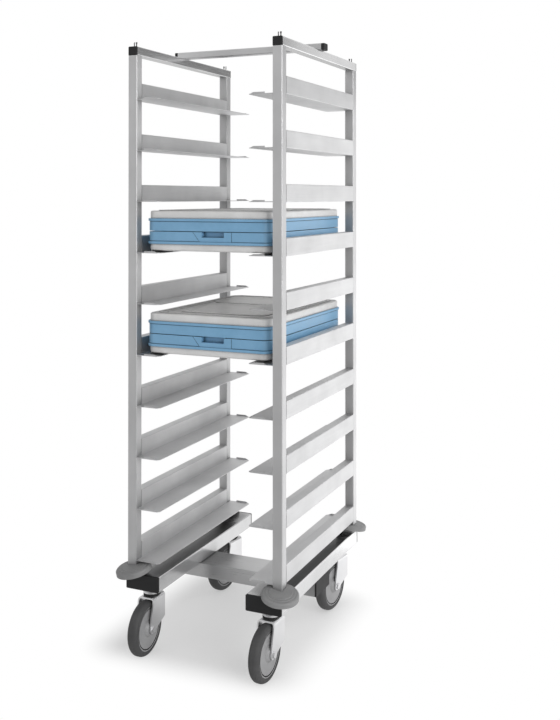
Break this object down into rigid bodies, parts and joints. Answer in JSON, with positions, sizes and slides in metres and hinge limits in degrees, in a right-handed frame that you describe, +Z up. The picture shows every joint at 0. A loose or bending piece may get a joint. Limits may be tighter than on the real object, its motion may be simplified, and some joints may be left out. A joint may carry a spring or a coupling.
{
  "type": "insulated tray transport trolley",
  "caption": "Tall open steel rack trolley on swivel casters, with facing pairs of tray rails and closed insulated meal trays resting on two of the levels.",
  "frame": {"origin": "on the floor, in the middle between the four posts", "axes": "+Z up, -Y towards the front of the trolley, +X to the right seen from the front"},
  "size_m": [0.5554, 0.6914, 1.693],
  "materials": {
    "frame_steel": "satin",
    "rail_steel": "satin",
    "stud_steel": "satin",
    "black_cap": "matte",
    "grey_bumper": "matte",
    "zinc_plate": "bright",
    "black_seal": "matte",
    "grey_rim": "matte",
    "grey_tyre": "matte",
    "white_shell": "satin",
    "white_liner": "satin",
    "blue_frame": "satin"
  },
  "bodies": {
    "frame": {"front_left_post": "frame_steel", "front_right_post": "frame_steel", "rear_left_post": "frame_steel", "rear_right_post": "frame_steel", "post_heads": "frame_steel", "left_top_tube": "frame_steel", "right_top_tube": "frame_steel", "top_cross_tube": "frame_steel", "top_tube_caps": "black_cap", "cross_tube_caps": "black_cap", "beam_caps": "black_cap", "floor_cross_caps": "black_cap", "top_studs": "stud_steel", "top_pins": "stud_steel", "left_beam": "frame_steel", "right_beam": "frame_steel", "floor_cross_tube": "frame_steel", "left_rails": "rail_steel", "right_rails": "rail_steel", "front_left_bumper": "grey_bumper", "front_right_bumper": "grey_bumper", "rear_left_bumper": "grey_bumper", "rear_right_bumper": "grey_bumper", "swivel_races": "zinc_plate", "swivel_bolts": "zinc_plate", "swivel_seals": "black_seal"},
    "front_left_caster": {"front_left_fork": "zinc_plate", "front_left_axle": "zinc_plate"},
    "front_left_wheel": {"front_left_rim": "grey_rim", "front_left_tyre": "grey_tyre"},
    "front_right_caster": {"front_right_fork": "zinc_plate", "front_right_axle": "zinc_plate"},
    "front_right_wheel": {"front_right_rim": "grey_rim", "front_right_tyre": "grey_tyre"},
    "rear_left_caster": {"rear_left_fork": "zinc_plate", "rear_left_axle": "zinc_plate"},
    "rear_left_wheel": {"rear_left_rim": "grey_rim", "rear_left_tyre": "grey_tyre"},
    "rear_right_caster": {"rear_right_fork": "zinc_plate", "rear_right_axle": "zinc_plate"},
    "rear_right_wheel": {"rear_right_rim": "grey_rim", "rear_right_tyre": "grey_tyre"},
    "upper_tray": {"upper_base_shell": "white_shell", "upper_base_frame": "blue_frame", "upper_base_liner": "white_liner"},
    "upper_lid": {"upper_lid_frame": "blue_frame", "upper_lid_shell": "white_shell", "upper_lid_liner": "white_liner"},
    "lower_tray": {"lower_base_shell": "white_shell", "lower_base_frame": "blue_frame", "lower_base_liner": "white_liner"},
    "lower_lid": {"lower_lid_frame": "blue_frame", "lower_lid_shell": "white_shell", "lower_lid_liner": "white_liner"}
  },
  "joints": [
    {"name": "front_left_swivel", "type": "hinge", "parent": "frame", "child": "front_left_caster", "pos_m": [-0.1825, -0.241, 0.14], "axis": [0, 0, 1], "continuous": true},
    {"name": "front_left_roll", "type": "hinge", "parent": "front_left_caster", "child": "front_left_wheel", "pos_m": [-0.18181, -0.28049, 0.073], "axis": [0.9998, 0.0175, 0], "continuous": true},
    {"name": "front_right_swivel", "type": "hinge", "parent": "frame", "child": "front_right_caster", "pos_m": [0.1825, -0.241, 0.14], "axis": [0, 0, 1], "continuous": true},
    {"name": "front_right_roll", "type": "hinge", "parent": "front_right_caster", "child": "front_right_wheel", "pos_m": [0.18112, -0.28048, 0.073], "axis": [0.9994, -0.0349, 0], "continuous": true},
    {"name": "rear_left_swivel", "type": "hinge", "parent": "frame", "child": "rear_left_caster", "pos_m": [-0.1825, 0.241, 0.14], "axis": [0, 0, 1], "continuous": true},
    {"name": "rear_left_roll", "type": "hinge", "parent": "rear_left_caster", "child": "rear_left_wheel", "pos_m": [-0.188, 0.20188, 0.073], "axis": [0.9903, -0.1392, 0], "continuous": true},
    {"name": "rear_right_swivel", "type": "hinge", "parent": "frame", "child": "rear_right_caster", "pos_m": [0.1825, 0.241, 0.14], "axis": [0, 0, 1], "continuous": true},
    {"name": "rear_right_roll", "type": "hinge", "parent": "rear_right_caster", "child": "rear_right_wheel", "pos_m": [0.17769, 0.20179, 0.073], "axis": [0.9925, -0.1219, 0], "continuous": true},
    {"name": "upper_tray_slide", "type": "slide", "parent": "frame", "child": "upper_tray", "axis": [0, -1, 0], "range_m": [0, 0.56]},
    {"name": "upper_lid_lift", "type": "slide", "parent": "upper_tray", "child": "upper_lid", "axis": [0, 0, 1], "range_m": [0, 0.016]},
    {"name": "lower_tray_slide", "type": "slide", "parent": "frame", "child": "lower_tray", "axis": [0, -1, 0], "range_m": [0, 0.56]},
    {"name": "lower_lid_lift", "type": "slide", "parent": "lower_tray", "child": "lower_lid", "axis": [0, 0, 1], "range_m": [0, 0.016]}
  ]
}
